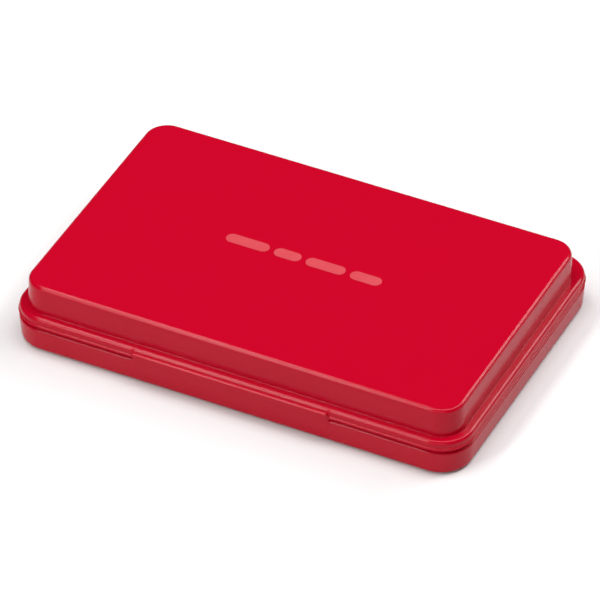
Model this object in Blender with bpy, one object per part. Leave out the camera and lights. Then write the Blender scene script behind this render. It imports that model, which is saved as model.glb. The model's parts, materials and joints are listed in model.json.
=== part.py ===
"""Hinged plastic ink pad: a flat red case whose lid swings up on two rear pins
to bare a cloth-covered pad held in a snap-in frame.

Metres, +Z up, case closed.  +X is the long side, -Y the front with the finger
lip, +Y the back with the hinge.  The origin is at the middle of the underside.
"""
import math

import bmesh
import bpy

MM = 0.001

# Case outline, measured at the bead round the lid's lower edge.
CASE_LENGTH = 110.0 * MM
CASE_DEPTH = 73.0 * MM
CASE_HEIGHT = 16.2 * MM
CORNER_RADIUS = 7.9 * MM
WALL = 1.5 * MM
GAP = 0.3 * MM                      # between pieces that touch
PLATEAU_ROUND = 1.0 * MM
FLANGE_ROUND = 0.95 * MM
SOFT = 0.15 * MM                    # rounding of small edges

# Heights of the case.
SEAM_TOP = 6.45 * MM                # lower edge of the lid
SEAM_BOTTOM = SEAM_TOP - GAP        # upper edge of the base
LEDGE_HEIGHT = 9.2 * MM             # flange of the lid
FOOT_RIM = 0.5 * MM                 # underside recess inside the standing rim
FOOT_WIDTH = 2.4 * MM               # flat of the standing rim
FLOOR_TOP = 2.0 * MM
BASE_RIM_INSET = 0.15 * MM          # upper edge of the base, behind the bead
BASE_RIM_ROUND = 0.45 * MM
BASE_LOW_INSET = 0.45 * MM
BASE_BOTTOM_ROUND = 1.4 * MM
DECK_TOP = 6.4 * MM                 # flat of the frame round the pad

# Lid plateau and skirt.
PLATEAU_INSET = 2.5 * MM            # from the bead, on the front and both ends
PLATEAU_BACK_INSET = 4.5 * MM       # the flange is wider over the hinge
PLATEAU_DRAFT = 0.25 * MM
PLATEAU_FOOT = 0.1 * MM             # fillet between plateau and flange
FLANGE_INSET = 0.25 * MM            # wall of the flange above the bead
BEAD_TOP = 7.55 * MM
BEAD_ROUND = 0.3 * MM
SEAM_INSET = 0.55 * MM              # the skirt draws in below the bead

# Finger lip at the middle of the front.
LIP_HALF_WIDTH = 24.2 * MM
LIP_END = 0.9 * MM                  # length over which each end runs out
LIP_RISE = 0.6 * MM                 # how far it stands proud of the bead
LIP_TOP = 8.5 * MM
LIP_ROUND = 0.4 * MM
LIP_FALL = 0.02 * MM                # drop of the lip's flat away from the flange
LIP_UNDERSIDE = 7.4 * MM            # the seam steps up to here below the lip
LIP_SIDE_GAP = 0.2 * MM             # the base steps up this far inside the lid's step

# Hinge behind the case.
HINGE_RADIUS = 1.6 * MM
HINGE_OFFSET = 2.0 * MM             # axis behind the bead
HINGE_CENTRES = (-32.0 * MM, 32.0 * MM)
HINGE_WEB = 2.3 * MM                # height of the webs that carry the barrels
LUG_WIDTH = 3.4 * MM
KNUCKLE_WIDTH = 5.2 * MM
PIN_RADIUS = 0.65 * MM
PIN_OVERHANG = 0.2 * MM

# Pad, all measured out from the inked face.
PAD_LENGTH = 90.0 * MM
PAD_DEPTH = 56.0 * MM
PAD_CORNER = 3.0 * MM
PAD_FACE = 9.9 * MM                 # height of the inked face
PAD_SOFT = 0.5 * MM                 # rounding of the cloth and the blocks under it
CLOTH = 0.4 * MM
HEM = 1.7 * MM                      # cloth turned out under the frame
FRAME_INNER = 0.5 * MM
FRAME_OUTER = 3.0 * MM              # shoulder of the raised part of the frame
FRAME_WALL = 0.9 * MM
FRAME_THICKNESS = 1.1 * MM
FRAME_ROUND = 0.35 * MM
FRAME_DROP = 1.4 * MM               # frame below the inked face
PAN_OUTER = 3.9 * MM
PAN_WALL = 1.2 * MM
PAN_FLOOR = 1.0 * MM

# Label on the underside.
LABEL_HALF_X = 27.0 * MM
LABEL_HALF_Y = 14.0 * MM
LABEL_CORNER = 2.0 * MM
LABEL_THICKNESS = 0.15 * MM
LABEL_SINK = 0.1 * MM               # glue line between label and recess

# Derived: the case body sits forward of the origin so that the lip and the
# hinge barrels reach equally far from it.
BACK_REACH = HINGE_OFFSET + HINGE_RADIUS
BODY_Y = (LIP_RISE - BACK_REACH) / 2
HALF_X = CASE_LENGTH / 2
HALF_Y = CASE_DEPTH / 2
HINGE_Y = BODY_Y + HALF_Y + HINGE_OFFSET
HINGE_Z = (SEAM_TOP + SEAM_BOTTOM) / 2
HINGE_AXIS = (0.0, HINGE_Y, HINGE_Z)
PLATEAU_Y = BODY_Y + (PLATEAU_INSET - PLATEAU_BACK_INSET) / 2

# Colours.
RED = (0.45, 0.001, 0.016, 1)
BLACK = (0.02, 0.02, 0.022, 1)
INK_RED = (0.35, 0.006, 0.016, 1)
CLOTH_RED = (0.42, 0.01, 0.02, 1)
FELT = (0.5, 0.06, 0.07, 1)
STEEL = (0.6, 0.6, 0.6, 1)
LABEL_WHITE = (0.86, 0.85, 0.82, 1)

CORNER_STEPS = 8
LIP_STEPS = 6
BARREL_STEPS = 18
ROUND_STEPS = 24
MIN_CORNER = 1.5 * MM
BORE_OVERRUN = 1.0 * MM             # how far a bore cutter passes its barrel
SHARP_ANGLE = math.radians(35)


def clear_scene():
    for obj in list(bpy.data.objects):
        bpy.data.objects.remove(obj, do_unlink=True)


def material(name, colour, roughness, metallic=0.0):
    mat = bpy.data.materials.new(name)
    mat.use_nodes = True
    shader = mat.node_tree.nodes["Principled BSDF"]
    shader.inputs["Base Color"].default_value = colour
    shader.inputs["Roughness"].default_value = roughness
    shader.inputs["Metallic"].default_value = metallic
    return mat


def add_object(name, bm, mat, origin):
    """Turn a bmesh in case coordinates into an object with the given origin."""
    bmesh.ops.recalc_face_normals(bm, faces=bm.faces)
    bmesh.ops.translate(bm, verts=bm.verts, vec=[-c for c in origin])
    mesh = bpy.data.meshes.new(name)
    bm.to_mesh(mesh)
    bm.free()
    mesh.materials.append(mat)
    mesh.shade_smooth()
    mesh.set_sharp_from_angle(angle=SHARP_ANGLE)
    obj = bpy.data.objects.new(name, mesh)
    obj.location = origin
    bpy.context.scene.collection.objects.link(obj)
    return obj


def lip_weight(x, half_width):
    """1 along the finger lip, 0 away from it, with a smooth run-out."""
    t = (half_width - abs(x)) / LIP_END
    t = min(max(t, 0.0), 1.0)
    return t * t * (3 - 2 * t)


def lip_stations(half_width):
    """Positions along the front edge where the outline needs a vertex."""
    ends = [half_width - LIP_END * i / LIP_STEPS for i in range(LIP_STEPS + 1)]
    return sorted([-x for x in ends] + [0.0] + ends)


def outline(half_x, half_y, radius, stations):
    """Rounded rectangle, anticlockwise from the front left corner's end.

    Returns (x, y, on_front) triples; the front edge carries the stations.
    """
    points = [(x, -half_y, True) for x in stations]
    corners = (
        (half_x - radius, -half_y + radius, -90),
        (half_x - radius, half_y - radius, 0),
        (-half_x + radius, half_y - radius, 90),
        (-half_x + radius, -half_y + radius, 180),
    )
    for cx, cy, start in corners:
        for i in range(CORNER_STEPS + 1):
            a = math.radians(start + 90 * i / CORNER_STEPS)
            points.append((cx + radius * math.cos(a), cy + radius * math.sin(a), False))
    return points


def case_ring(inset, z, half_width, lip_inset=None, lip_z=None, back_inset=None):
    """One level of the case: an outline inset from the bead, at height z.

    lip_inset and lip_z are what the middle of the front blends to.
    """
    lip_inset = inset if lip_inset is None else lip_inset
    lip_z = z if lip_z is None else lip_z
    back_inset = inset if back_inset is None else back_inset
    half_x = HALF_X - inset
    half_y = HALF_Y - (inset + back_inset) / 2
    centre_y = BODY_Y + (inset - back_inset) / 2
    radius = max(CORNER_RADIUS - inset, MIN_CORNER)
    ring = []
    for x, y, on_front in outline(half_x, half_y, radius, lip_stations(half_width)):
        w = lip_weight(x, half_width) if on_front else 0.0
        ring.append((
            x,
            centre_y + y + (lip_inset - inset) * w,
            z + (lip_z - z) * w,
        ))
    return ring


def pad_ring(grow, z):
    """An outline round the pad, grown from the inked face, at height z."""
    half_x = PAD_LENGTH / 2 + grow
    half_y = PAD_DEPTH / 2 + grow
    radius = max(PAD_CORNER + grow, MIN_CORNER)
    return [(x, PLATEAU_Y + y, z) for x, y, _ in outline(half_x, half_y, radius, [])]


def tray_ring(clearance, z):
    """An outline that follows the inside of the tray wall, at height z."""
    inset = BASE_RIM_INSET + WALL + clearance
    radius = CORNER_RADIUS - inset
    points = outline(HALF_X - inset, HALF_Y - inset, radius, [])
    return [(x, BODY_Y + y, z) for x, y, _ in points]


def loft(rings, closed=False):
    """Skin a list of rings; cap both ends, or join them when closed."""
    bm = bmesh.new()
    levels = [[bm.verts.new(p) for p in ring] for ring in rings]
    count = len(levels[0])
    pairs = list(zip(levels, levels[1:]))
    if closed:
        pairs.append((levels[-1], levels[0]))
    for low, high in pairs:
        for i in range(count):
            j = (i + 1) % count
            bm.faces.new((low[i], low[j], high[j], high[i]))
    if not closed:
        bm.faces.new(levels[0])
        bm.faces.new(levels[-1])
    return bm


def quarter(inset_start, z_start, inset_end, z_end, steps, flat_first):
    """Insets and heights along a quarter ellipse, both ends included.

    flat_first is True when the curve leaves its start horizontally.
    """
    path = []
    for i in range(steps + 1):
        a = math.radians(90 * i / steps)
        across = math.sin(a) if flat_first else 1 - math.cos(a)
        down = 1 - math.cos(a) if flat_first else math.sin(a)
        path.append((
            inset_start + (inset_end - inset_start) * across,
            z_start + (z_end - z_start) * down,
        ))
    return path


def cylinder(x_start, x_end, radius):
    """A round bar along X on the hinge axis, as a bmesh."""
    bm = bmesh.new()
    rims = []
    for x in (x_start, x_end):
        rim = []
        for i in range(ROUND_STEPS):
            a = 2 * math.pi * i / ROUND_STEPS
            y = HINGE_Y + radius * math.cos(a)
            rim.append(bm.verts.new((x, y, HINGE_Z + radius * math.sin(a))))
        rims.append(rim)
    for i in range(ROUND_STEPS):
        j = (i + 1) % ROUND_STEPS
        bm.faces.new((rims[0][i], rims[0][j], rims[1][j], rims[1][i]))
    bm.faces.new(rims[0])
    bm.faces.new(rims[1])
    return bm


def knuckle(x_start, x_end, rise, wall_y):
    """A barrel on the hinge axis with a web running forward into a wall.

    rise is +1 when the web lies above the axis and -1 when it lies below.
    The outline is one polygon: the web's far corners, then round the barrel.
    """
    profile = [(wall_y, HINGE_Z + rise * GAP), (wall_y, HINGE_Z + rise * HINGE_WEB)]
    for i in range(BARREL_STEPS + 1):
        a = math.radians(90 - 270 * i / BARREL_STEPS)
        y = HINGE_Y + HINGE_RADIUS * math.cos(a)
        z = HINGE_Z + rise * HINGE_RADIUS * math.sin(a)
        profile.append((y, z))
    profile.append((HINGE_Y - HINGE_RADIUS, HINGE_Z + rise * GAP))
    bm = bmesh.new()
    sides = [[bm.verts.new((x, y, z)) for y, z in profile] for x in (x_start, x_end)]
    count = len(profile)
    for i in range(count):
        j = (i + 1) % count
        bm.faces.new((sides[0][i], sides[0][j], sides[1][j], sides[1][i]))
    bm.faces.new(sides[0])
    bm.faces.new(sides[1])
    return bm


def combine(target, bm, operation):
    """Join a bmesh to, or cut it from, an object and keep the result."""
    tool = add_object(target.name + "_tool", bm, target.data.materials[0], target.location)
    modifier = target.modifiers.new("combine", "BOOLEAN")
    modifier.object = tool
    modifier.operation = operation
    modifier.solver = "EXACT"
    graph = bpy.context.evaluated_depsgraph_get()
    result = bpy.data.meshes.new_from_object(target.evaluated_get(graph))
    target.modifiers.clear()
    target.data = result
    bpy.data.objects.remove(tool, do_unlink=True)


def plateau_ring(inset, z):
    """One level of the plateau, which is set in further along the hinge side."""
    back_inset = inset + PLATEAU_BACK_INSET - PLATEAU_INSET
    return case_ring(inset, z, LIP_HALF_WIDTH, back_inset=back_inset)


def skirt_rings(path, lip_path):
    """Levels of the flange and skirt: one path all round, another at the lip."""
    return [
        case_ring(inset, z, LIP_HALF_WIDTH, lip_inset, lip_z)
        for (inset, z), (lip_inset, lip_z) in zip(path, lip_path)
    ]


def lid_outside():
    """Levels of the lid's outer face, from the top down to the seam."""
    face_z = CASE_HEIGHT - PLATEAU_ROUND
    foot_inset = PLATEAU_INSET - PLATEAU_DRAFT
    foot_z = LEDGE_HEIGHT + PLATEAU_FOOT
    edge = quarter(PLATEAU_INSET + PLATEAU_ROUND, CASE_HEIGHT, PLATEAU_INSET, face_z, 4, True)
    foot = quarter(foot_inset, foot_z, foot_inset - PLATEAU_FOOT, LEDGE_HEIGHT, 2, False)
    rings = [plateau_ring(inset, z) for inset, z in edge + foot]

    edge_inset = FLANGE_INSET + FLANGE_ROUND
    lip_meet = LIP_TOP + LIP_FALL
    flange = quarter(edge_inset, LEDGE_HEIGHT, FLANGE_INSET, LEDGE_HEIGHT - FLANGE_ROUND, 3, True)
    flange_at_lip = quarter(edge_inset, LEDGE_HEIGHT, FLANGE_INSET, lip_meet, 3, True)
    bead = quarter(FLANGE_INSET, BEAD_TOP, 0.0, BEAD_TOP - BEAD_ROUND, 2, True)
    lip = quarter(LIP_ROUND - LIP_RISE, LIP_TOP, -LIP_RISE, LIP_TOP - LIP_ROUND, 2, True)
    seam = [(SEAM_INSET, SEAM_TOP + SOFT), (SEAM_INSET + SOFT, SEAM_TOP)]
    lip_low = [(-LIP_RISE, LIP_UNDERSIDE + SOFT), (SOFT - LIP_RISE, LIP_UNDERSIDE)]
    return rings + skirt_rings(flange + bead + seam, flange_at_lip + lip + lip_low)


def lid_inside():
    """Levels of the lid's inner face, from the seam up to the roof."""
    skirt = BASE_RIM_INSET + WALL
    ceiling = LEDGE_HEIGHT - WALL
    roof = CASE_HEIGHT - WALL
    roof_inset = PLATEAU_INSET + WALL
    bend = 2 * SOFT
    path = [(skirt, SEAM_TOP), (skirt, ceiling - bend), (skirt + bend, ceiling)]
    lip_path = [(skirt, LIP_UNDERSIDE), (skirt, ceiling - SOFT), (skirt + bend, ceiling)]
    return skirt_rings(path, lip_path) + [
        plateau_ring(roof_inset - PLATEAU_DRAFT, ceiling),
        plateau_ring(roof_inset, roof - bend),
        plateau_ring(roof_inset + bend, roof),
    ]


def build_lid(mat):
    """Lid: plateau, flange, skirt with its bead, finger lip and two knuckles."""
    lid = add_object("lid_shell", loft(lid_outside() + lid_inside()), mat, HINGE_AXIS)
    wall_y = BODY_Y + HALF_Y - WALL / 2
    for x in HINGE_CENTRES:
        half = KNUCKLE_WIDTH / 2
        combine(lid, knuckle(x - half, x + half, 1, wall_y), "UNION")
        reach = half + BORE_OVERRUN
        combine(lid, cylinder(x - reach, x + reach, PIN_RADIUS + GAP), "DIFFERENCE")
    pivot = bpy.data.objects.new("lid_pivot", None)
    pivot.location = HINGE_AXIS
    bpy.context.scene.collection.objects.link(pivot)
    lid.parent = pivot
    lid.location = (0, 0, 0)
    return lid


def build_base(mat):
    """Base: a shallow tray with a raised middle front and four hinge lugs."""
    half_width = LIP_HALF_WIDTH - LIP_SIDE_GAP
    raised = LIP_UNDERSIDE - GAP
    inner = BASE_RIM_INSET + WALL
    low_inset = BASE_LOW_INSET + BASE_BOTTOM_ROUND
    rim_inset = BASE_RIM_INSET + BASE_RIM_ROUND

    def level(inset, z, lip_z=None):
        return case_ring(inset, z, half_width, lip_z=lip_z)

    rings = [level(low_inset + FOOT_WIDTH, FOOT_RIM), level(low_inset + FOOT_WIDTH, 0.0)]
    bottom = quarter(low_inset, 0.0, BASE_LOW_INSET, BASE_BOTTOM_ROUND, 5, True)
    rings += [level(inset, z) for inset, z in bottom]
    rim = quarter(BASE_RIM_INSET, SEAM_BOTTOM - BASE_RIM_ROUND, rim_inset, SEAM_BOTTOM, 3, False)
    rings += [level(inset, z, z + raised - SEAM_BOTTOM) for inset, z in rim]
    rings.append(level(inner, SEAM_BOTTOM, raised))
    rings.append(level(inner, FLOOR_TOP))
    base = add_object("base_tray", loft(rings), mat, (0, BODY_Y, 0))

    wall_y = BODY_Y + HALF_Y - BASE_RIM_INSET - WALL / 2
    for x in HINGE_CENTRES:
        for side in (-1, 1):
            near = x + side * (KNUCKLE_WIDTH / 2 + GAP)
            far = near + side * LUG_WIDTH
            low, high = min(near, far), max(near, far)
            combine(base, knuckle(low, high, -1, wall_y), "UNION")
            combine(base, cylinder(low - BORE_OVERRUN, high + BORE_OVERRUN, PIN_RADIUS + GAP), "DIFFERENCE")
    return base


def build_pan(mat):
    """Black pan in the tray that holds the felt and carries the frame."""
    floor = FLOOR_TOP + GAP
    rim = DECK_TOP - FRAME_THICKNESS - GAP
    return add_object("pad_pan", loft([
        pad_ring(PAN_OUTER - PAD_SOFT, floor),
        pad_ring(PAN_OUTER, floor + PAD_SOFT),
        pad_ring(PAN_OUTER, rim),
        pad_ring(PAN_OUTER - PAN_WALL, rim),
        pad_ring(PAN_OUTER - PAN_WALL, floor + PAN_FLOOR),
    ]), mat, (0, PLATEAU_Y, floor))


def build_frame(mat):
    """Frame that clamps the cloth hem and closes the tray round the pad."""
    top = PAD_FACE - FRAME_DROP
    under = top - FRAME_THICKNESS
    deck_under = DECK_TOP - FRAME_THICKNESS
    wall_inside = FRAME_OUTER - FRAME_WALL
    return add_object("pad_frame", loft([
        pad_ring(FRAME_INNER, under),
        pad_ring(FRAME_INNER, top - FRAME_ROUND),
        pad_ring(FRAME_INNER + FRAME_ROUND, top),
        pad_ring(FRAME_OUTER - FRAME_ROUND, top),
        pad_ring(FRAME_OUTER, top - FRAME_ROUND),
        pad_ring(FRAME_OUTER, DECK_TOP + FRAME_ROUND),
        pad_ring(FRAME_OUTER + FRAME_ROUND, DECK_TOP),
        tray_ring(GAP + FRAME_ROUND, DECK_TOP),
        tray_ring(GAP, DECK_TOP - FRAME_ROUND),
        tray_ring(GAP, deck_under),
        pad_ring(wall_inside, deck_under),
        pad_ring(wall_inside, under),
    ], closed=True), mat, (0, PLATEAU_Y, deck_under))


def build_felt(mat):
    """Felt block that stores the ink under the pad."""
    low = FLOOR_TOP + GAP + PAN_FLOOR + GAP
    high = DECK_TOP
    return add_object("ink_felt", loft([
        pad_ring(HEM - PAD_SOFT, low),
        pad_ring(HEM, low + PAD_SOFT),
        pad_ring(HEM, high - PAD_SOFT),
        pad_ring(HEM - PAD_SOFT, high),
    ]), mat, (0, PLATEAU_Y, low))


def build_foam(mat):
    """Foam cushion under the cloth."""
    grow = -CLOTH - GAP
    low = DECK_TOP + GAP
    high = PAD_FACE - CLOTH - GAP
    return add_object("foam_cushion", loft([
        pad_ring(grow, low),
        pad_ring(grow, high - PAD_SOFT),
        pad_ring(grow - PAD_SOFT, high),
    ]), mat, (0, PLATEAU_Y, low))


def build_cloth(mat):
    """Woven cover: a face, four sides and a hem turned out under the frame."""
    hem_low = DECK_TOP + GAP
    inside = PAD_FACE - CLOTH
    return add_object("pad_cloth", loft([
        pad_ring(-CLOTH - PAD_SOFT, inside),
        pad_ring(-CLOTH, inside - PAD_SOFT),
        pad_ring(-CLOTH, hem_low),
        pad_ring(HEM, hem_low),
        pad_ring(HEM, hem_low + CLOTH),
        pad_ring(0.0, hem_low + CLOTH),
        pad_ring(0.0, PAD_FACE - PAD_SOFT),
        pad_ring(-PAD_SOFT, PAD_FACE),
    ]), mat, (0, PLATEAU_Y, PAD_FACE))


def build_pins(mat):
    """A steel pin through each group of lugs and knuckle."""
    reach = KNUCKLE_WIDTH / 2 + GAP + LUG_WIDTH + PIN_OVERHANG
    for name, x in zip(("hinge_pin_left", "hinge_pin_right"), HINGE_CENTRES):
        add_object(name, cylinder(x - reach, x + reach, PIN_RADIUS), mat, (x, HINGE_Y, HINGE_Z))


def build_label(mat):
    """Blank paper label in the recess of the underside."""
    top = FOOT_RIM - LABEL_SINK
    shape = outline(LABEL_HALF_X, LABEL_HALF_Y, LABEL_CORNER, [])
    rings = []
    for z in (top - LABEL_THICKNESS, top):
        rings.append([(x, BODY_Y + y, z) for x, y, _ in shape])
    return add_object("underside_label", loft(rings), mat, (0, BODY_Y, top))


def main():
    clear_scene()
    build_lid(material("lid_plastic", RED, 0.28))
    build_base(material("base_plastic", RED, 0.3))
    build_pan(material("pan_plastic", BLACK, 0.45))
    build_frame(material("frame_plastic", BLACK, 0.4))
    build_felt(material("felt", FELT, 0.95))
    build_foam(material("foam", INK_RED, 0.9))
    build_cloth(material("cloth", CLOTH_RED, 0.8))
    build_pins(material("pin_steel", STEEL, 0.3, 1.0))
    build_label(material("label_paper", LABEL_WHITE, 0.7))


main()
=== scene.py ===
"""Looks for the closed red ink pad: fine shells over the CAD frame, the pad
inside, a plain mark in place of the lettering, studio floor, lights, camera."""
import json
import math

import bmesh
import bpy
from mathutils import Matrix, Vector


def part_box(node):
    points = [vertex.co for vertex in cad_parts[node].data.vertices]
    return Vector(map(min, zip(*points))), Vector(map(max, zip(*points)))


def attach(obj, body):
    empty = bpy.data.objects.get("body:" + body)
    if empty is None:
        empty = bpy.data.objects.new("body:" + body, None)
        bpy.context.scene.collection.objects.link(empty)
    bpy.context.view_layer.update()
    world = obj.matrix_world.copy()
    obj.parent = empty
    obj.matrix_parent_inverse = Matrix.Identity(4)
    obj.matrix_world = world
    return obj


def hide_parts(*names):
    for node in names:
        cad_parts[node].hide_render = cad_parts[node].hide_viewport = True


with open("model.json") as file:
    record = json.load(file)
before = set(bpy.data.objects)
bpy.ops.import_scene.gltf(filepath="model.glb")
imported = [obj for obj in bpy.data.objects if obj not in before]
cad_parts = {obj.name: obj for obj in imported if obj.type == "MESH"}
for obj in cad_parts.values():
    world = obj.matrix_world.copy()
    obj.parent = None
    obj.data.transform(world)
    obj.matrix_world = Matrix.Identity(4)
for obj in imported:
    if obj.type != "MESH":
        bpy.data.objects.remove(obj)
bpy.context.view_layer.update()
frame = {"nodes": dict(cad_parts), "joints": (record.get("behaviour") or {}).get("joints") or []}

MM = 0.001

# Places read from the frame.
LID_LOW, LID_HIGH = (Vector(c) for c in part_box("lid_shell"))
CLOTH_LOW, CLOTH_HIGH = (Vector(c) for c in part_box("pad_cloth"))
FELT_LOW, FELT_HIGH = (Vector(c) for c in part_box("ink_felt"))
PAN_LOW, PAN_HIGH = (Vector(c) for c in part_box("pad_pan"))
FRAME_LOW, FRAME_HIGH = (Vector(c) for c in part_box("pad_frame"))
FOAM_LOW, FOAM_HIGH = (Vector(c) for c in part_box("foam_cushion"))
PIN_LOW, PIN_HIGH = (Vector(c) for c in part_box("hinge_pin_right"))
HINGE = Vector(frame["joints"][0]["pos_m"])

# The case, as the CAD states it.
WALL = 1.5 * MM
GAP = 0.3 * MM
CORNER_RADIUS = 7.9 * MM
PLATEAU_ROUND = 1.0 * MM
FLANGE_ROUND = 0.95 * MM
SOFT = 0.15 * MM
LIP_RISE = 0.6 * MM
HINGE_RADIUS = LID_HIGH.y - HINGE.y
HINGE_OFFSET = 2.0 * MM
HINGE_WEB = 2.3 * MM
HALF_X = (LID_HIGH.x - LID_LOW.x) / 2
CASE_FRONT = LID_LOW.y + LIP_RISE
CASE_BACK = HINGE.y - HINGE_OFFSET
HALF_Y = (CASE_BACK - CASE_FRONT) / 2
BODY_Y = (CASE_BACK + CASE_FRONT) / 2
TOP = LID_HIGH.z
HAIRLINE = 0.05 * MM                # the closed seam as it is seen
SEAM_BOTTOM = HINGE.z - GAP / 2
SEAM_TOP = SEAM_BOTTOM + HAIRLINE
PLATEAU_RISE = 7.0 * MM
LEDGE = TOP - PLATEAU_RISE
PLATEAU_INSET = 2.5 * MM
PLATEAU_BACK_EXTRA = 2.0 * MM
PLATEAU_DRAFT = 0.25 * MM
PLATEAU_FOOT = 0.1 * MM
FLANGE_INSET = 0.25 * MM
BEAD_HEIGHT = 1.4 * MM
BEAD_TOP = SEAM_BOTTOM + BEAD_HEIGHT
BEAD_ROUND = 0.3 * MM
SEAM_INSET = 0.55 * MM
LIP_HALF_WIDTH = 24.2 * MM
LIP_END = 0.9 * MM
LIP_STEP = 0.95 * MM
LIP_THICKNESS = 1.1 * MM
LIP_UNDERSIDE = SEAM_BOTTOM + GAP + LIP_STEP
LIP_TOP = LIP_UNDERSIDE + LIP_THICKNESS
LIP_ROUND = 0.4 * MM
LIP_FALL = 0.02 * MM
BASE_RIM_INSET = 0.15 * MM
BASE_RIM_ROUND = 0.45 * MM
BASE_LOW_INSET = 0.45 * MM
BASE_BOTTOM_ROUND = 1.4 * MM
FOOT_RIM = 0.5 * MM
FOOT_WIDTH = 2.4 * MM
FLOOR_TOP = PAN_LOW.z - GAP
KNUCKLE_WIDTH = 5.2 * MM
LUG_WIDTH = 3.4 * MM
PIN_RADIUS = (PIN_HIGH.z - PIN_LOW.z) / 2
HINGE_CENTRE = (PIN_LOW.x + PIN_HIGH.x) / 2

# The pad.
HEM = 1.7 * MM
CLOTH = 0.4 * MM
PAD_HALF_X = CLOTH_HIGH.x - HEM
PAD_HALF_Y = (CLOTH_HIGH.y - CLOTH_LOW.y) / 2 - HEM
PAD_Y = (CLOTH_HIGH.y + CLOTH_LOW.y) / 2
PAD_CORNER = 3.0 * MM
PAD_FACE = CLOTH_HIGH.z
FRAME_INNER = 0.5 * MM
FRAME_OUTER = 3.0 * MM
FRAME_WALL = 0.9 * MM
FRAME_THICKNESS = 1.1 * MM
DECK_TOP = FRAME_LOW.z + FRAME_THICKNESS

# How finely the meshes are cut, and the tightest corner an inset outline keeps.
CORNER_STEPS = 20
FILLET_STEPS = 8
LIP_STEPS = 14
MIN_CORNER = 1.5 * MM
MIN_PAD_CORNER = 1.0 * MM
MIN_BLOCK_CORNER = 0.3 * MM
BORE_OVERCUT = 1.0 * MM


# ---------------------------------------------------------------- meshes

def make_object(name, bm, mat, sharp_degrees=40.0):
    """Puts the mesh in the scene, smooth apart from its sharp edges."""
    bmesh.ops.recalc_face_normals(bm, faces=bm.faces)
    mesh = bpy.data.meshes.new(name)
    bm.to_mesh(mesh)
    bm.free()
    mesh.materials.append(mat)
    mesh.shade_smooth()
    mesh.set_sharp_from_angle(angle=math.radians(sharp_degrees))
    obj = bpy.data.objects.new(name, mesh)
    bpy.context.scene.collection.objects.link(obj)
    return obj


def weigh_normals(obj):
    """Lets the large flat faces set the shading beside their fillets."""
    modifier = obj.modifiers.new("weighted", "WEIGHTED_NORMAL")
    modifier.keep_sharp = True
    modifier.weight = 80


def lip_weight(x, half_width):
    """How far the front has turned into the lip: 0 beside it, 1 along it."""
    t = min(max((half_width - abs(x)) / LIP_END, 0.0), 1.0)
    return t * t * (3 - 2 * t)


def lip_stations(half_width):
    """Places along the front, close together where the lip begins and ends."""
    ends = [half_width - LIP_END * i / LIP_STEPS for i in range(LIP_STEPS + 1)]
    return sorted([-x for x in ends] + [0.0] + ends)


def outline(half_x, half_y, radius, stations):
    """Rounded rectangle as (x, y, on_front), with the stations on its front."""
    points = [(x, -half_y, True) for x in stations]
    corners = (
        (half_x - radius, -half_y + radius, -90),
        (half_x - radius, half_y - radius, 0),
        (-half_x + radius, half_y - radius, 90),
        (-half_x + radius, -half_y + radius, 180),
    )
    for cx, cy, start in corners:
        for i in range(CORNER_STEPS + 1):
            a = math.radians(start + 90 * i / CORNER_STEPS)
            points.append((cx + radius * math.cos(a), cy + radius * math.sin(a), False))
    return points


def case_ring(inset, z, half_width, lip_inset=None, lip_z=None, back_inset=None):
    """One level of the case, inset from the bead; the front blends to the lip."""
    lip_inset = inset if lip_inset is None else lip_inset
    lip_z = z if lip_z is None else lip_z
    back_inset = inset if back_inset is None else back_inset
    half_y = HALF_Y - (inset + back_inset) / 2
    centre_y = BODY_Y + (inset - back_inset) / 2
    radius = max(CORNER_RADIUS - inset, MIN_CORNER)
    ring = []
    for x, y, on_front in outline(HALF_X - inset, half_y, radius, lip_stations(half_width)):
        w = lip_weight(x, half_width) if on_front else 0.0
        ring.append((x, centre_y + y + (lip_inset - inset) * w, z + (lip_z - z) * w))
    return ring


def pad_ring(grow, z):
    """One level round the pad, grown outward from the edge of its face."""
    radius = max(PAD_CORNER + grow, MIN_PAD_CORNER)
    points = outline(PAD_HALF_X + grow, PAD_HALF_Y + grow, radius, [])
    return [(x, PAD_Y + y, z) for x, y, _ in points]


def tray_ring(clearance, z):
    """One level round the inside of the tray, with a clearance to its wall."""
    inset = BASE_RIM_INSET + WALL + clearance
    points = outline(HALF_X - inset, HALF_Y - inset, CORNER_RADIUS - inset, [])
    return [(x, BODY_Y + y, z) for x, y, _ in points]


def loft(rings, closed=False):
    """Skin over rings of equal count, capped at both ends or closed in a loop."""
    bm = bmesh.new()
    levels = [[bm.verts.new(p) for p in ring] for ring in rings]
    pairs = list(zip(levels, levels[1:]))
    if closed:
        pairs.append((levels[-1], levels[0]))
    count = len(levels[0])
    for low, high in pairs:
        for i in range(count):
            j = (i + 1) % count
            bm.faces.new((low[i], low[j], high[j], high[i]))
    if not closed:
        bm.faces.new(levels[0])
        bm.faces.new(levels[-1])
    return bm


def quarter(inset_start, z_start, inset_end, z_end, flat_first, steps=FILLET_STEPS):
    """Insets and heights along a quarter ellipse, both ends included."""
    path = []
    for i in range(steps + 1):
        a = math.radians(90 * i / steps)
        across = math.sin(a) if flat_first else 1 - math.cos(a)
        down = 1 - math.cos(a) if flat_first else math.sin(a)
        path.append((
            inset_start + (inset_end - inset_start) * across,
            z_start + (z_end - z_start) * down,
        ))
    return path


def hinge_bar(x_start, x_end, radius, steps=40):
    """A round bar on the hinge axis."""
    angles = [2 * math.pi * i / steps for i in range(steps)]
    circle = [(HINGE.y + radius * math.cos(a), HINGE.z + radius * math.sin(a)) for a in angles]
    return loft([[(x, y, z) for y, z in circle] for x in (x_start, x_end)])


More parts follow.
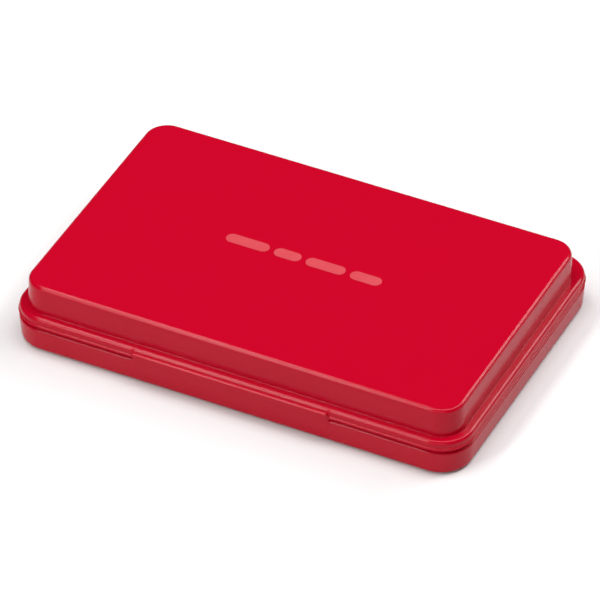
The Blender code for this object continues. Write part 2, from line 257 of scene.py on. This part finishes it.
def knuckle(x_start, x_end, rise, wall_y):
    """A barrel on the hinge axis with a web above (+1) or below (-1) it."""
    steps = 30
    profile = [(wall_y, HINGE.z + rise * GAP), (wall_y, HINGE.z + rise * HINGE_WEB)]
    for i in range(steps + 1):
        a = math.radians(90 - 270 * i / steps)
        y = HINGE.y + HINGE_RADIUS * math.cos(a)
        profile.append((y, HINGE.z + rise * HINGE_RADIUS * math.sin(a)))
    profile.append((HINGE.y - HINGE_RADIUS, HINGE.z + rise * GAP))
    return loft([[(x, y, z) for y, z in profile] for x in (x_start, x_end)])


def combine(target, bm, operation):
    """Joins the mesh to the target, or cuts it away, and drops the tool."""
    tool = make_object(target.name + "_tool", bm, target.data.materials[0])
    modifier = target.modifiers.new("combine", "BOOLEAN")
    modifier.object = tool
    modifier.operation = operation
    modifier.solver = "EXACT"
    graph = bpy.context.evaluated_depsgraph_get()
    result = bpy.data.meshes.new_from_object(target.evaluated_get(graph))
    target.modifiers.clear()
    target.data = result
    bpy.data.objects.remove(tool, do_unlink=True)


# ------------------------------------------------------------- materials

# A mix node's two colour inputs and its colour output, by number: its float and
# vector sockets come first and have the same names.
MIX_COLOURS_IN = (6, 7)
MIX_COLOUR_OUT = 2

# A wave texture at scale 1 repeats after this many metres.
WAVE_LENGTH = 0.314


class Nodes:
    """Short calls for building one material's node tree."""

    def __init__(self, name):
        self.mat = bpy.data.materials.new(name)
        self.mat.use_nodes = True
        self.tree = self.mat.node_tree
        self.shader = self.tree.nodes["Principled BSDF"]
        self.coords = self.tree.nodes.new("ShaderNodeTexCoord").outputs["Object"]

    def add(self, kind, **settings):
        node = self.tree.nodes.new(kind)
        for key, value in settings.items():
            setattr(node, key, value)
        return node

    def link(self, source, target):
        self.tree.links.new(source, target)

    def noise(self, scale, detail=3.0, roughness=0.5, stretch=(1, 1, 1)):
        mapping = self.add("ShaderNodeMapping")
        mapping.inputs["Scale"].default_value = stretch
        self.link(self.coords, mapping.inputs["Vector"])
        node = self.add("ShaderNodeTexNoise")
        node.inputs["Scale"].default_value = scale
        node.inputs["Detail"].default_value = detail
        node.inputs["Roughness"].default_value = roughness
        self.link(mapping.outputs["Vector"], node.inputs["Vector"])
        return node.outputs["Fac"]

    def remap(self, source, span, target):
        """Carries the source's span over to the target's, clamped at both ends."""
        node = self.add("ShaderNodeMapRange")
        node.inputs["From Min"].default_value = span[0]
        node.inputs["From Max"].default_value = span[1]
        node.inputs["To Min"].default_value = target[0]
        node.inputs["To Max"].default_value = target[1]
        self.link(source, node.inputs["Value"])
        return node.outputs["Result"]

    def mix(self, factor, first, second):
        node = self.add("ShaderNodeMix", data_type="RGBA")
        self.link(factor, node.inputs["Factor"])
        for value, number in zip((first, second), MIX_COLOURS_IN):
            socket = node.inputs[number]
            if isinstance(value, tuple):
                socket.default_value = value
            else:
                self.link(value, socket)
        return node.outputs[MIX_COLOUR_OUT]

    def math(self, operation, first, second):
        node = self.add("ShaderNodeMath", operation=operation)
        for value, socket in ((first, node.inputs[0]), (second, node.inputs[1])):
            if isinstance(value, (int, float)):
                socket.default_value = value
            else:
                self.link(value, socket)
        return node.outputs[0]

    def constant(self, socket, value):
        self.shader.inputs[socket].default_value = value

    def drive(self, socket, source):
        self.link(source, self.shader.inputs[socket])

    def bump(self, height, strength, distance, below=None):
        node = self.add("ShaderNodeBump")
        node.inputs["Strength"].default_value = strength
        node.inputs["Distance"].default_value = distance
        self.link(height, node.inputs["Height"])
        if below is not None:
            self.link(below, node.inputs["Normal"])
        return node.outputs["Normal"]


def moulded_plastic(name, colour, shade, roughness, grain_depth, specular):
    """Moulded plastic: faint flow in the colour, rubbed patches, fine grain."""
    n = Nodes(name)
    flow = n.remap(n.noise(26, 2.0), (0.35, 0.65), (0.0, 1.0))
    n.drive("Base Color", n.mix(flow, colour, shade))
    rubbed = n.remap(n.noise(55, 4.0, 0.6), (0.3, 0.7), (roughness - 0.02, roughness + 0.03))
    n.drive("Roughness", rubbed)
    grain = n.bump(n.noise(3500, 2.0), 0.12, grain_depth)
    waves = n.bump(n.noise(120, 1.0), 0.1, grain_depth * 2, grain)
    n.drive("Normal", waves)
    n.constant("Specular IOR Level", specular)
    return n.mat


def thread_wave(n, axis, pitch):
    """The rounded backs of the threads that cross the axis, two pitches apart."""
    wave = n.add("ShaderNodeTexWave", wave_type="BANDS", bands_direction=axis)
    wave.inputs["Scale"].default_value = WAVE_LENGTH / pitch / 2
    wave.inputs["Distortion"].default_value = 0.35
    wave.inputs["Detail"].default_value = 1.0
    wave.inputs["Detail Scale"].default_value = 1.5
    n.link(n.coords, wave.inputs["Vector"])
    return wave.outputs["Fac"]


def weave(name, colour, shade, pitch):
    """Plain weave: two sets of threads, over and under, soaked with ink, with painted shade in the hollows
    between threads.
    """
    n = Nodes(name)
    warp = thread_wave(n, "X", pitch)
    weft = thread_wave(n, "Y", pitch)
    checker = n.add("ShaderNodeTexChecker")
    checker.inputs["Scale"].default_value = 1 / pitch
    n.link(n.coords, checker.inputs["Vector"])
    over = n.math("MULTIPLY", warp, checker.outputs["Fac"])
    under = n.math("MULTIPLY", weft, n.math("SUBTRACT", 1.0, checker.outputs["Fac"]))
    threads = n.math("ADD", over, under)
    soaked = n.remap(n.noise(60, 3.0), (0.35, 0.65), (0.0, 0.35))
    dyed = n.mix(soaked, colour, shade)
    # Painted shade: the hollows between the threads are darkened toward the shade colour.
    painted_hollow_shade = n.remap(threads, (0.0, 1.0), (0.5, 0.0))
    n.drive("Base Color", n.mix(painted_hollow_shade, dyed, shade))
    n.drive("Roughness", n.remap(n.noise(90, 2.0), (0.3, 0.7), (0.55, 0.75)))
    n.drive("Normal", n.bump(threads, 0.7, pitch * 0.25))
    n.constant("Sheen Weight", 0.1)
    n.constant("Sheen Roughness", 0.4)
    return n.mat


def porous(name, colour, shade, scale, depth):
    """Felt or foam: clumped fibres or cells, matt and uneven."""
    n = Nodes(name)
    fine = n.noise(scale, 4.0, 0.7)
    n.drive("Base Color", n.mix(n.remap(fine, (0.3, 0.7), (0.0, 1.0)), colour, shade))
    n.drive("Roughness", n.remap(n.noise(scale / 8, 2.0), (0.3, 0.7), (0.85, 1.0)))
    n.drive("Normal", n.bump(fine, 0.8, depth))
    n.constant("Sheen Weight", 0.2)
    return n.mat


def drawn_steel(name):
    """Drawn wire: fine streaks along the pin and a little tarnish."""
    bright = (0.62, 0.61, 0.6, 1)
    tarnish = (0.42, 0.4, 0.38, 1)
    n = Nodes(name)
    streaks = n.noise(6000, 2.0, 0.5, (0.05, 1, 1))
    dull = n.remap(n.noise(500, 3.0), (0.35, 0.7), (0.0, 1.0))
    n.drive("Base Color", n.mix(dull, bright, tarnish))
    n.drive("Roughness", n.remap(streaks, (0.3, 0.7), (0.22, 0.42)))
    n.drive("Normal", n.bump(streaks, 0.3, 0.01 * MM))
    n.constant("Metallic", 1.0)
    return n.mat


def label_paper(name):
    """Uncoated paper: fibres and a few faint stains of red ink."""
    pale = (0.84, 0.82, 0.78, 1)
    fibre = (0.74, 0.72, 0.67, 1)
    ink = (0.62, 0.3, 0.28, 1)
    n = Nodes(name)
    fibres = n.noise(2500, 4.0, 0.6, (1, 0.4, 1))
    paper = n.mix(n.remap(fibres, (0.3, 0.7), (0.0, 1.0)), pale, fibre)
    stain = n.remap(n.noise(75, 3.0), (0.62, 0.75), (0.0, 0.35))
    n.drive("Base Color", n.mix(stain, paper, ink))
    n.drive("Roughness", n.remap(fibres, (0.3, 0.7), (0.65, 0.85)))
    n.drive("Normal", n.bump(fibres, 0.4, 0.02 * MM))
    return n.mat


def print_ink(name):
    """Pale pad-printed ink that lets a little of the red through."""
    full = (0.53, 0.056, 0.070, 1)
    thin = (0.49, 0.036, 0.049, 1)
    n = Nodes(name)
    cover = n.remap(n.noise(1800, 3.0, 0.6), (0.35, 0.75), (0.0, 0.5))
    n.drive("Base Color", n.mix(cover, full, thin))
    n.drive("Roughness", n.remap(n.noise(300, 2.0), (0.3, 0.7), (0.35, 0.5)))
    n.drive("Normal", n.bump(n.noise(2500, 2.0), 0.2, 0.01 * MM))
    return n.mat


def floor_material():
    """Matt pale grey, without any gloss, a little uneven."""
    grey = (0.70, 0.70, 0.70, 1)
    pale = (0.72, 0.72, 0.72, 1)
    n = Nodes("studio_floor")
    n.drive("Base Color", n.mix(n.noise(3.0, 2.0), grey, pale))
    n.constant("Roughness", 0.9)
    n.constant("Specular IOR Level", 0.0)
    return n.mat


# ---------------------------------------------------------------- pieces

def plateau_ring(inset, z):
    """One level of the plateau, which keeps further from the back edge."""
    return case_ring(inset, z, LIP_HALF_WIDTH, back_inset=inset + PLATEAU_BACK_EXTRA)


def skirt_rings(path, lip_path):
    """Levels of the flange and skirt: one path all round, another at the lip."""
    return [
        case_ring(inset, z, LIP_HALF_WIDTH, lip_inset, lip_z)
        for (inset, z), (lip_inset, lip_z) in zip(path, lip_path)
    ]


def lid_outside():
    """Levels from the plateau's face down to the seam."""
    face_z = TOP - PLATEAU_ROUND
    foot_inset = PLATEAU_INSET - PLATEAU_DRAFT
    foot_z = LEDGE + PLATEAU_FOOT
    rings = [plateau_ring(PLATEAU_INSET + 2 * PLATEAU_ROUND, TOP)]
    edge = quarter(PLATEAU_INSET + PLATEAU_ROUND, TOP, PLATEAU_INSET, face_z, True)
    foot = quarter(foot_inset, foot_z, foot_inset - PLATEAU_FOOT, LEDGE, False, 5)
    rings += [plateau_ring(inset, z) for inset, z in edge + foot]

    edge_inset = FLANGE_INSET + FLANGE_ROUND
    flange = quarter(edge_inset, LEDGE, FLANGE_INSET, LEDGE - FLANGE_ROUND, True)
    flange_at_lip = quarter(edge_inset, LEDGE, FLANGE_INSET, LIP_TOP + LIP_FALL, True)
    bead = quarter(FLANGE_INSET, BEAD_TOP, 0.0, BEAD_TOP - BEAD_ROUND, True, 6)
    lip = quarter(LIP_ROUND - LIP_RISE, LIP_TOP, -LIP_RISE, LIP_TOP - LIP_ROUND, True, 6)
    nip = SOFT / 2
    seam = quarter(SEAM_INSET, SEAM_TOP + nip, SEAM_INSET + nip, SEAM_TOP, False, 4)
    lip_low = quarter(-LIP_RISE, LIP_UNDERSIDE + nip, nip - LIP_RISE, LIP_UNDERSIDE, False, 4)
    return rings + skirt_rings(flange + bead + seam, flange_at_lip + lip + lip_low)


def lid_inside():
    """Levels from the seam up the inside to the underside of the plateau."""
    skirt = BASE_RIM_INSET + WALL
    ceiling = LEDGE - WALL
    roof = TOP - WALL
    roof_inset = PLATEAU_INSET + WALL
    bend = 2 * SOFT
    path = [(skirt, SEAM_TOP)] + quarter(skirt, ceiling - bend, skirt + bend, ceiling, False, 4)
    lip_path = [(skirt, LIP_UNDERSIDE)]
    lip_path += quarter(skirt, ceiling - SOFT, skirt + bend, ceiling, False, 4)
    rings = skirt_rings(path, lip_path)
    rings.append(plateau_ring(roof_inset - PLATEAU_DRAFT, ceiling))
    corner = quarter(roof_inset, roof - 2 * bend, roof_inset + 2 * bend, roof, False, 5)
    rings += [plateau_ring(inset, z) for inset, z in corner]
    rings.append(plateau_ring(roof_inset + 4 * bend, roof))
    return rings


def build_lid(mat):
    lid = make_object("lid_moulding", loft(lid_outside() + lid_inside()), mat)
    wall_y = CASE_BACK - WALL / 2
    for x in (-HINGE_CENTRE, HINGE_CENTRE):
        half = KNUCKLE_WIDTH / 2
        combine(lid, knuckle(x - half, x + half, 1, wall_y), "UNION")
        reach = half + BORE_OVERCUT
        combine(lid, hinge_bar(x - reach, x + reach, PIN_RADIUS + GAP), "DIFFERENCE")
    weigh_normals(lid)
    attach(lid, "lid")
    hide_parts("lid_shell")


def build_base(mat):
    half_width = LIP_HALF_WIDTH - HAIRLINE
    raised = LIP_UNDERSIDE - HAIRLINE
    inner = BASE_RIM_INSET + WALL
    low_inset = BASE_LOW_INSET + BASE_BOTTOM_ROUND
    rim_inset = BASE_RIM_INSET + BASE_RIM_ROUND
    foot_inset = low_inset + FOOT_WIDTH

    def level(inset, z, lip_z=None):
        return case_ring(inset, z, half_width, lip_z=lip_z)

    rings = [level(foot_inset + 4 * SOFT, FOOT_RIM), level(foot_inset + SOFT, FOOT_RIM)]
    foot = quarter(foot_inset, SOFT, foot_inset - SOFT, 0.0, False, 3)
    bottom = quarter(low_inset, 0.0, BASE_LOW_INSET, BASE_BOTTOM_ROUND, True)
    rings += [level(inset, z) for inset, z in foot + bottom]
    rim = quarter(BASE_RIM_INSET, SEAM_BOTTOM - BASE_RIM_ROUND, rim_inset, SEAM_BOTTOM, False, 6)
    rings += [level(inset, z, z + raised - SEAM_BOTTOM) for inset, z in rim]
    rings.append(level(inner, SEAM_BOTTOM, raised))
    rings.append(level(inner, FLOOR_TOP))
    base = make_object("base_moulding", loft(rings), mat)
    wall_y = CASE_BACK - BASE_RIM_INSET - WALL / 2
    for x in (-HINGE_CENTRE, HINGE_CENTRE):
        for side in (-1, 1):
            near = x + side * (KNUCKLE_WIDTH / 2 + GAP)
            far = near + side * LUG_WIDTH
            low, high = min(near, far), max(near, far)
            combine(base, knuckle(low, high, -1, wall_y), "UNION")
            bore = hinge_bar(low - BORE_OVERCUT, high + BORE_OVERCUT, PIN_RADIUS + GAP)
            combine(base, bore, "DIFFERENCE")
    weigh_normals(base)
    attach(base, "base")
    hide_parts("base_tray")


def build_pan(mat):
    wall = 1.2 * MM
    thickness = 1.0 * MM
    soft = 0.5 * MM
    bend = 0.4 * MM
    outer = PAN_HIGH.x - PAD_HALF_X
    inner = outer - wall
    low = PAN_LOW.z
    floor = low + thickness
    outside = quarter(outer - soft, low, outer, low + soft, True, 5)
    inside = quarter(inner, floor + bend, inner - bend, floor, False, 4)
    rings = [pad_ring(outer - 2 * soft, low)]
    rings += [pad_ring(grow, z) for grow, z in outside]
    rings += [pad_ring(outer, PAN_HIGH.z), pad_ring(inner, PAN_HIGH.z)]
    rings += [pad_ring(grow, z) for grow, z in inside]
    pan = make_object("pan_moulding", loft(rings), mat)
    weigh_normals(pan)
    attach(pan, "base")
    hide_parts("pad_pan")


def build_frame(mat):
    top = FRAME_HIGH.z
    under = top - FRAME_THICKNESS
    deck_under = FRAME_LOW.z
    soft = 0.4 * MM
    wall = FRAME_OUTER - FRAME_WALL
    brim = quarter(FRAME_INNER, top - soft, FRAME_INNER + soft, top, False, 5)
    shoulder = quarter(FRAME_OUTER - soft, top, FRAME_OUTER, top - soft, True, 5)
    foot = quarter(FRAME_OUTER, DECK_TOP + soft, FRAME_OUTER + soft, DECK_TOP, False, 5)
    deck = quarter(GAP + soft, DECK_TOP, GAP, DECK_TOP - soft, True, 5)
    rings = [pad_ring(FRAME_INNER, under)]
    rings += [pad_ring(grow, z) for grow, z in brim + shoulder + foot]
    rings += [tray_ring(clearance, z) for clearance, z in deck]
    rings += [tray_ring(GAP, deck_under), pad_ring(wall, deck_under), pad_ring(wall, under)]
    bezel = make_object("frame_moulding", loft(rings, closed=True), mat)
    weigh_normals(bezel)
    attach(bezel, "base")
    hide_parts("pad_frame")


def crowned_block(name, low, high, corner, crown, soft, mat):
    """A soft block with rounded edges whose top swells a little."""
    half_x = (high.x - low.x) / 2
    half_y = (high.y - low.y) / 2
    centre = (low + high) / 2
    top = high.z - crown

    def ring(inset, z):
        radius = max(corner - inset, MIN_BLOCK_CORNER)
        points = outline(half_x - inset, half_y - inset, radius, [])
        return [(centre.x + x, centre.y + y, z) for x, y, _ in points]

    rings = [ring(2 * soft, low.z)]
    rings += [ring(i, z) for i, z in quarter(soft, low.z, 0.0, low.z + soft, True, 5)]
    rings += [ring(i, z) for i, z in quarter(0.0, top - soft, soft, top, False, 5)]
    middle = min(half_x, half_y) - 0.6 * MM
    steps = 24
    for i in range(1, steps):
        t = i / steps
        inset = soft + (middle - soft) * t
        rings.append(ring(inset, top + crown * math.sin(t * math.pi / 2)))
    return make_object(name, loft(rings), mat)


def build_felt(mat):
    corner = 5.0 * MM
    crown = 0.15 * MM
    soft = 0.4 * MM
    felt = crowned_block("felt_block", FELT_LOW, FELT_HIGH, corner, crown, soft, mat)
    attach(felt, "base")
    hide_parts("ink_felt")


def build_foam(mat):
    corner = 2.3 * MM
    crown = 0.25 * MM
    soft = 0.5 * MM
    foam = crowned_block("foam_block", FOAM_LOW, FOAM_HIGH, corner, crown, soft, mat)
    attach(foam, "base")
    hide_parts("foam_cushion")


def fold(distance, roll, drop):
    """Outward reach and fall of the cover at a distance past its face's edge."""
    arc = roll * math.pi / 2
    side = drop - 2 * roll
    if distance < arc:
        a = distance / roll
        return roll * math.sin(a), roll * (1 - math.cos(a))
    if distance < arc + side:
        return roll, roll + distance - arc
    if distance < 2 * arc + side:
        a = (distance - arc - side) / roll
        return roll + roll * (1 - math.cos(a)), roll + side + roll * math.sin(a)
    return distance - 2 * arc - side + 2 * roll, drop


def cut_cover(face_z, roll, drop, pitch):
    """A flat sheet of cloth, square mesh, folded down round the pad's outline.

    Returns the bmesh, the numbers of the vertices that lie past the face, and
    the sheet's flat width and depth.
    """
    reach = math.pi * roll + drop - 2 * roll + HEM - roll
    core_x = PAD_HALF_X - PAD_CORNER
    core_y = PAD_HALF_Y - PAD_CORNER
    corner = PAD_CORNER - roll
    extent_x = PAD_HALF_X - roll + reach
    extent_y = PAD_HALF_Y - roll + reach
    count_x = round(2 * extent_x / pitch)
    count_y = round(2 * extent_y / pitch)
    bm = bmesh.new()
    grid = []
    held = []
    for i in range(count_x + 1):
        column = []
        for j in range(count_y + 1):
            x = extent_x * (2 * i / count_x - 1)
            y = extent_y * (2 * j / count_y - 1)
            centre = Vector((min(max(x, -core_x), core_x), min(max(y, -core_y), core_y)))
            away = Vector((x, y)) - centre
            past = away.length - corner
            if past <= 0:
                place = Vector((x, y))
                fall = 0.0
            else:
                out, fall = fold(min(past, reach), roll, drop)
                place = centre + away.normalized() * (corner + out)
                held.append(len(bm.verts))
            vert = bm.verts.new((place.x, PAD_Y + place.y, face_z - fall))
            column.append((vert, past))
        grid.append(column)
    for i in range(count_x):
        for j in range(count_y):
            around = (grid[i][j], grid[i + 1][j], grid[i + 1][j + 1], grid[i][j + 1])
            if all(past < reach + pitch for _, past in around):
                bm.faces.new([vert for vert, _ in around])
    return bm, held, (2 * extent_x, 2 * extent_y)


def drop_loose(bm, held):
    """Deletes vertices in no face; returns the held ones by their new numbers."""
    loose = [v for v in bm.verts if not v.link_faces]
    kept = [i for i, v in enumerate(bm.verts) if v.link_faces]
    order = {old: new for new, old in enumerate(kept)}
    bmesh.ops.delete(bm, geom=loose, context="VERTS")
    return [order[i] for i in held if i in order]


def inflate(obj, held, limit):
    """Blows the cover's face up as cloth and keeps a rise of at most the limit."""
    scene = bpy.context.scene
    last_frame = 20
    group = obj.vertex_groups.new(name="held")
    group.add(held, 1.0, "REPLACE")
    start = [v.co.copy() for v in obj.data.vertices]
    cloth = obj.modifiers.new("cloth", "CLOTH")
    settings = cloth.settings
    settings.quality = 6
    settings.mass = 0.1
    settings.vertex_group_mass = "held"
    settings.use_pressure = True
    settings.uniform_pressure_force = 4.0
    settings.effector_weights.gravity = 0.0
    cloth.collision_settings.use_collision = False
    cloth.point_cache.frame_start = 1
    cloth.point_cache.frame_end = last_frame
    for number in range(1, last_frame + 1):
        scene.frame_set(number)
    graph = bpy.context.evaluated_depsgraph_get()
    blown = [v.co.copy() for v in obj.evaluated_get(graph).data.vertices]
    obj.modifiers.remove(cloth)
    scene.frame_set(1)
    highest = max((b - a).length for a, b in zip(start, blown))
    scale = min(1.0, limit / highest) if highest > 0 else 0.0
    for vert, a, b in zip(obj.data.vertices, start, blown):
        vert.co = a + (b - a) * scale
    obj.vertex_groups.remove(group)


def build_cloth(mat):
    """Woven cover: one sheet folded over the foam, its hem under the frame."""
    thin = 0.25 * MM
    swell = 0.3 * MM
    roll = 0.7 * MM
    pitch = 1.0 * MM
    hem_z = CLOTH_LOW.z + CLOTH
    face_z = PAD_FACE - swell
    bm, past_face, flat = cut_cover(face_z, roll, face_z - hem_z, pitch)
    held = drop_loose(bm, past_face)
    cloth = make_object("cloth_cover", bm, mat, 60)
    inflate(cloth, held, swell)
    fine = cloth.modifiers.new("fine", "SUBSURF")
    fine.levels = 1
    fine.render_levels = 1
    solid = cloth.modifiers.new("thickness", "SOLIDIFY")
    solid.thickness = thin
    solid.offset = -1
    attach(cloth, "base")
    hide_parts("pad_cloth")


def print_block(left, right, centre_y, half):
    """Outline of one block: half a circle at its right end, half at its left."""
    steps = 12
    points = []
    for cx, start in ((right - half, -90), (left + half, 90)):
        for i in range(steps + 1):
            a = math.radians(start + 180 * i / steps)
            points.append((cx + half * math.cos(a), centre_y + half * math.sin(a)))
    return points


def build_print(mat):
    """A row of plain rounded blocks printed on the lid where lettering goes."""
    lift = 0.02 * MM
    thick = 0.02 * MM
    gap = 1.3 * MM
    half = 1.5 * MM
    widths = [10.5 * MM, 6.5 * MM, 9.5 * MM, 7.5 * MM]
    centre_y = BODY_Y + 0.35 * MM
    left = -(sum(widths) + gap * (len(widths) - 1)) / 2
    bm = bmesh.new()
    for width in widths:
        points = print_block(left, left + width, centre_y, half)
        left += width + gap
        low = [bm.verts.new((x, y, TOP + lift)) for x, y in points]
        high = [bm.verts.new((x, y, TOP + lift + thick)) for x, y in points]
        for i in range(len(points)):
            j = (i + 1) % len(points)
            bm.faces.new((low[i], low[j], high[j], high[i]))
        bm.faces.new(low)
        bm.faces.new(high)
    mark = make_object("lid_mark", bm, mat)
    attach(mark, "lid")


def dress_node(node, mat):
    """Gives a CAD node that stays in view its material."""
    mesh = frame["nodes"][node].data
    mesh.materials.clear()
    mesh.materials.append(mat)


# ---------------------------------------------------------------- studio

def area_light(name, place, along, length, width, power):
    """A softbox that faces the object, its length lying along a direction."""
    place = Vector(place)
    facing = place.normalized()
    side = Vector(along)
    side = (side - facing * side.dot(facing)).normalized()
    data = bpy.data.lights.new(name, "AREA")
    data.shape = "RECTANGLE"
    data.size = length
    data.size_y = width
    data.energy = power
    light = bpy.data.objects.new(name, data)
    turn = Matrix((side, facing.cross(side), facing)).transposed()
    light.matrix_world = Matrix.Translation(place) @ turn.to_4x4()
    bpy.context.scene.collection.objects.link(light)


def build_floor():
    half = 4.0
    mesh = bpy.data.meshes.new("floor")
    corners = [(-half, -half, 0), (half, -half, 0), (half, half, 0), (-half, half, 0)]
    mesh.from_pydata(corners, [], [(0, 1, 2, 3)])
    mesh.materials.append(floor_material())
    floor = bpy.data.objects.new("floor", mesh)
    bpy.context.scene.collection.objects.link(floor)


def build_lights():
    """Long strips that the rounded edges mirror as lines, and a fill in front."""
    area_light("front_strip", (-0.37, -0.22, 0.90), (0, 1, 0), length=1.15, width=0.16, power=5.4)
    area_light("low_strip", (-0.375, -0.913, 0.488), (0, -0.47, -0.88), length=0.70, width=0.16, power=3.3)
    area_light("overhead", (0.10, 0.0, 0.93), (1, 0.40, 0), length=0.75, width=0.28, power=5.0)
    area_light("bridge", (0.47, 0.38, 0.80), (0.05, 1, -0.4), length=0.42, width=0.20, power=2.8)
    area_light("behind", (0.42, 0.70, 0.60), (0.80, 0, -0.60), length=0.72, width=0.17, power=3.7)
    area_light("fill", (0.25, -1.10, 0.50), (1, 0.23, 0), length=1.2, width=0.6, power=3.4)


def build_world():
    world = bpy.data.worlds.new("studio")
    world.use_nodes = True
    background = world.node_tree.nodes["Background"]
    background.inputs["Color"].default_value = (1, 1, 1, 1)
    background.inputs["Strength"].default_value = 0.04
    bpy.context.scene.world = world
    bpy.context.scene.view_settings.view_transform = "Standard"


def build_camera():
    azimuth = math.radians(25.97)
    elevation = math.radians(38.88)
    distance = 1.388
    focal_mm = 375.3
    sensor_mm = 36
    aim_up = 3.93 * MM
    aim_left = 0.65 * MM
    back = Vector((
        math.sin(azimuth) * math.cos(elevation),
        -math.cos(azimuth) * math.cos(elevation),
        math.sin(elevation),
    ))
    right = Vector((math.cos(azimuth), math.sin(azimuth), 0))
    up = back.cross(right)
    aim = Vector((0, BODY_Y, 0)) + up * aim_up - right * aim_left
    data = bpy.data.cameras.new("camera")
    data.sensor_width = sensor_mm
    data.lens = focal_mm
    data.clip_end = 20
    camera = bpy.data.objects.new("camera", data)
    camera.location = aim + back * distance
    camera.rotation_mode = "QUATERNION"
    camera.rotation_quaternion = (-back).to_track_quat("-Z", "Y")
    bpy.context.scene.collection.objects.link(camera)
    bpy.context.scene.camera = camera


def build_pieces():
    red = (0.42, 0.0008, 0.0150, 1)
    red_shade = (0.41, 0.0007, 0.0143, 1)
    black = (0.018, 0.018, 0.020, 1)
    black_shade = (0.026, 0.026, 0.028, 1)
    felt_red = (0.5, 0.05, 0.06, 1)
    felt_shade = (0.34, 0.02, 0.03, 1)
    foam_red = (0.38, 0.01, 0.02, 1)
    foam_shade = (0.22, 0.004, 0.01, 1)
    cloth_red = (0.38, 0.006, 0.016, 1)
    # The darker cloth red colours the ink stains and also the painted shade in the thread hollows.
    cloth_stain_and_painted_shade = (0.18, 0.002, 0.007, 1)
    thread_pitch = 0.6 * MM
    gloss_grain = 0.012 * MM
    matt_grain = 0.03 * MM
    build_lid(moulded_plastic("lid_plastic", red, red_shade, 0.18, gloss_grain, 0.175))
    build_base(moulded_plastic("base_plastic", red, red_shade, 0.19, gloss_grain, 0.175))
    build_pan(moulded_plastic("pan_plastic", black, black_shade, 0.5, matt_grain, 0.4))
    build_frame(moulded_plastic("frame_plastic", black, black_shade, 0.42, matt_grain, 0.45))
    build_felt(porous("felt", felt_red, felt_shade, 2600, 0.15 * MM))
    build_foam(porous("foam", foam_red, foam_shade, 1800, 0.2 * MM))
    build_cloth(weave("cloth", cloth_red, cloth_stain_and_painted_shade, thread_pitch))
    build_print(print_ink("print_ink"))
    steel = drawn_steel("pin_steel")
    dress_node("hinge_pin_left", steel)
    dress_node("hinge_pin_right", steel)
    dress_node("underside_label", label_paper("label_paper"))


build_pieces()
build_floor()
build_lights()
build_world()
build_camera()
